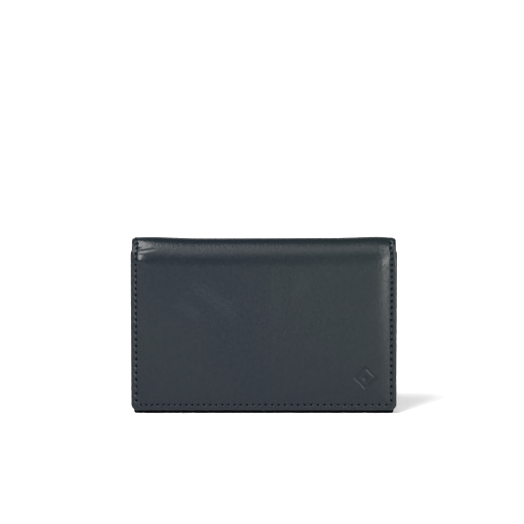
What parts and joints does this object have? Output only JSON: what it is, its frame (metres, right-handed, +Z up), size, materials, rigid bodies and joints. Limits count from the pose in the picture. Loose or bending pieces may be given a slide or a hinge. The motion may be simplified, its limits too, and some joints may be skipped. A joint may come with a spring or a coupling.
{
  "type": "card holder",
  "caption": "Upright leather business-card case with a full-height fold-over flap, a gusseted card pocket and slip pockets, perimeter stitching and a folding spine",
  "frame": {"origin": "Middle of the footprint, on the surface that the case's lower edge stands on.", "axes": "+Z up, +X along the width to the right of someone who faces the flap, +Y from the flap to the back."},
  "size_m": [0.11, 0.015, 0.073],
  "materials": {
    "leather": "smooth calf leather, dark navy, soft sheen",
    "lining": "matt woven lining, near black navy",
    "padding": "thin grey foam sheet",
    "board": "bonded leather board",
    "thread": "polyester sewing thread, navy"
  },
  "bodies": {
    "back": {"back_cover": "leather", "back_padding": "padding", "back_board": "board", "back_lining": "lining", "back_stitching": "thread", "pocket_base": "leather", "left_gusset": "leather", "right_gusset": "leather"},
    "spine": {"spine_cover": "leather", "spine_lining": "lining", "spine_stitching_left": "thread", "spine_stitching_right": "thread"},
    "flap": {"flap_cover": "leather", "flap_padding": "padding", "flap_board": "board", "flap_lining": "lining", "flap_stitching": "thread", "flap_slip_panel": "leather", "flap_inner_stitching": "thread"},
    "pocket_wall": {"wall_cover": "leather", "wall_board": "board", "wall_lining": "lining", "wall_slip_panel": "leather", "wall_stitching": "thread", "wall_top_stitching": "thread"}
  },
  "joints": [
    {"name": "rear_fold", "type": "hinge", "parent": "back", "child": "spine", "pos_m": [0, 0.00647, 0.07197], "axis": [-1, 0, 0], "range_deg": [0, 90]},
    {"name": "front_fold", "type": "hinge", "parent": "spine", "child": "flap", "pos_m": [0, -0.00647, 0.07197], "axis": [-1, 0, 0], "range_deg": [0, 90]},
    {"name": "pocket_mouth", "type": "hinge", "parent": "back", "child": "pocket_wall", "pos_m": [0, -0.0036, 0], "axis": [1, 0, 0], "range_deg": [0, 8]}
  ],
  "couplings": [
    {"joint": "front_fold", "follows": "rear_fold", "ratio": 1},
    {"joint": "pocket_mouth", "follows": "rear_fold", "ratio": 0.088}
  ]
}
